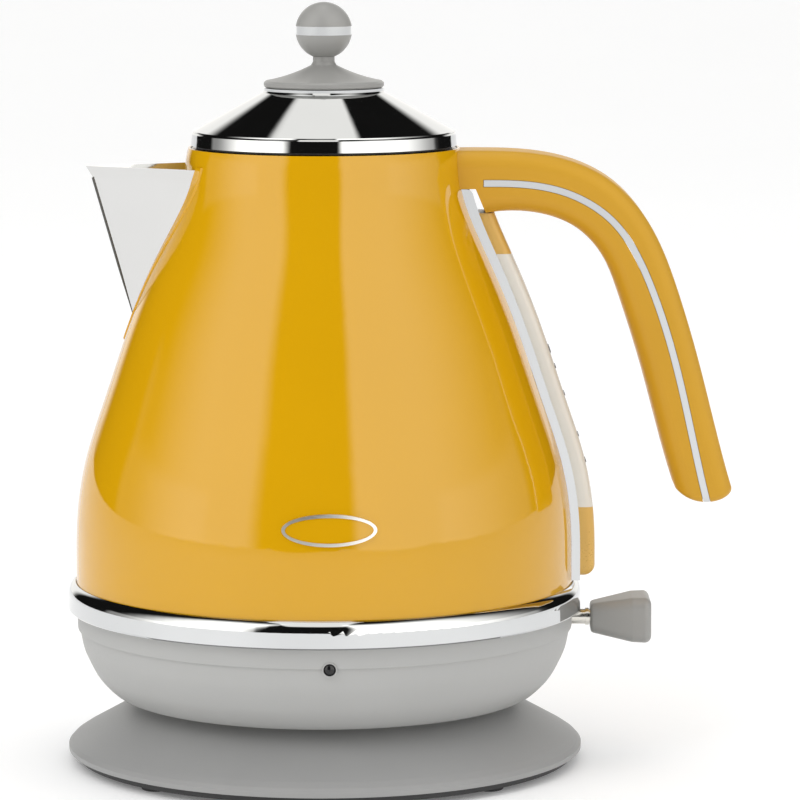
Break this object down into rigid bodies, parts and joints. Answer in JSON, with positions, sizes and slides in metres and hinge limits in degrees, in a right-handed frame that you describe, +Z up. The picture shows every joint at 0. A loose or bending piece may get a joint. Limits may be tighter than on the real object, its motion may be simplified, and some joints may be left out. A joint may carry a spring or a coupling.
{
  "type": "electric kettle",
  "caption": "Retro electric kettle: tapered painted vessel with V spout, lift-off chrome lid with ball knob, C handle, water gauge and on-off lever, on a round swivelling power base.",
  "frame": {"origin": "the kettle's axis at the surface it stands on, under the middle of the power base", "axes": "+Z up along the kettle's axis, +X towards the handle and the lever, -X towards the spout"},
  "size_m": [0.2252, 0.1749, 0.2571],
  "materials": {
    "yellow_paint": "gloss",
    "yellow_plastic": "satin",
    "chrome": "polished",
    "polished_steel": "polished",
    "steel": "satin",
    "bowl_grey": "matt",
    "base_grey": "matt",
    "knob_grey": "satin",
    "black_plastic": "matt",
    "white_plastic": "matt",
    "rubber": "matt",
    "silicone": "matt",
    "brass": "satin",
    "aluminium": "satin",
    "zinc": "satin",
    "window": "clear",
    "lamp": "gloss",
    "ink": "satin"
  },
  "bodies": {
    "power_base": {"base_cover": "base_grey", "base_bottom": "black_plastic", "base_screws": "zinc", "base_feet": "rubber", "cord_gland": "rubber", "base_socket": "black_plastic", "socket_contacts": "brass"},
    "contact_pin": {"centre_pin": "brass"},
    "lid": {"lid_rim": "chrome", "lid_dome": "chrome", "lid_plug": "black_plastic", "lid_seal": "silicone", "lid_clips": "zinc", "knob_base": "knob_grey", "knob_lower": "knob_grey", "knob_ring": "chrome", "knob_upper": "knob_grey", "knob_screw": "zinc"},
    "filter": {"filter_frame": "bowl_grey", "filter_mesh": "steel"},
    "lever": {"lever_arm": "black_plastic", "lever_stem": "zinc", "lever_paddle": "knob_grey"},
    "rocker": {"trip_rocker": "black_plastic"},
    "kettle": {"connector_housing": "black_plastic", "connector_rings": "brass", "bowl": "bowl_grey", "bowl_bottom": "bowl_grey", "bowl_screws": "zinc", "indicator_bezel": "bowl_grey", "indicator_lens": "lamp", "indicator_lamp": "white_plastic", "base_ring": "chrome", "vessel_floor": "steel", "diffuser_plate": "aluminium", "heating_element": "steel", "control_housing": "white_plastic", "dry_boil_discs": "brass", "steam_tube": "silicone", "steam_disc": "brass", "switch_frame": "white_plastic", "body_shell": "yellow_paint", "neck_ring": "steel", "spout": "polished_steel", "spout_flange": "yellow_paint", "handle_strip": "chrome", "handle_outer": "yellow_plastic", "handle_inner": "yellow_plastic", "handle_bracket": "steel", "handle_screws": "zinc", "gauge_frame": "chrome", "gauge_seals": "silicone", "gauge_cap_bottom": "yellow_plastic", "gauge_cap_top": "yellow_plastic", "gauge_window": "window", "gauge_back": "white_plastic", "gauge_marks": "ink", "badge_rim": "chrome", "badge_field": "yellow_paint", "filter_rails": "steel"}
  },
  "joints": [
    {"name": "lift", "type": "slide", "parent": "power_base", "child": "contact_pin", "axis": [0, 0, 1], "range_m": [0, 0.12]},
    {"name": "swivel", "type": "hinge", "parent": "contact_pin", "child": "kettle", "pos_m": [0, 0, 0.03], "axis": [0, 0, 1], "continuous": true},
    {"name": "lid_lift", "type": "slide", "parent": "kettle", "child": "lid", "axis": [0, 0, 1], "range_m": [0, 0.09]},
    {"name": "filter_pull", "type": "slide", "parent": "kettle", "child": "filter", "axis": [1, 0, 0], "range_m": [0, 0.028]},
    {"name": "lever_press", "type": "hinge", "parent": "kettle", "child": "lever", "pos_m": [0.062, 0, 0.0481], "axis": [0, 1, 0], "range_deg": [0, 10]},
    {"name": "rocker_turn", "type": "hinge", "parent": "kettle", "child": "rocker", "pos_m": [0.0455, 0, 0.046], "axis": [0, 1, 0], "range_deg": [-10, 0]}
  ],
  "couplings": [
    {"joint": "rocker_turn", "follows": "lever_press", "ratio": -1}
  ]
}
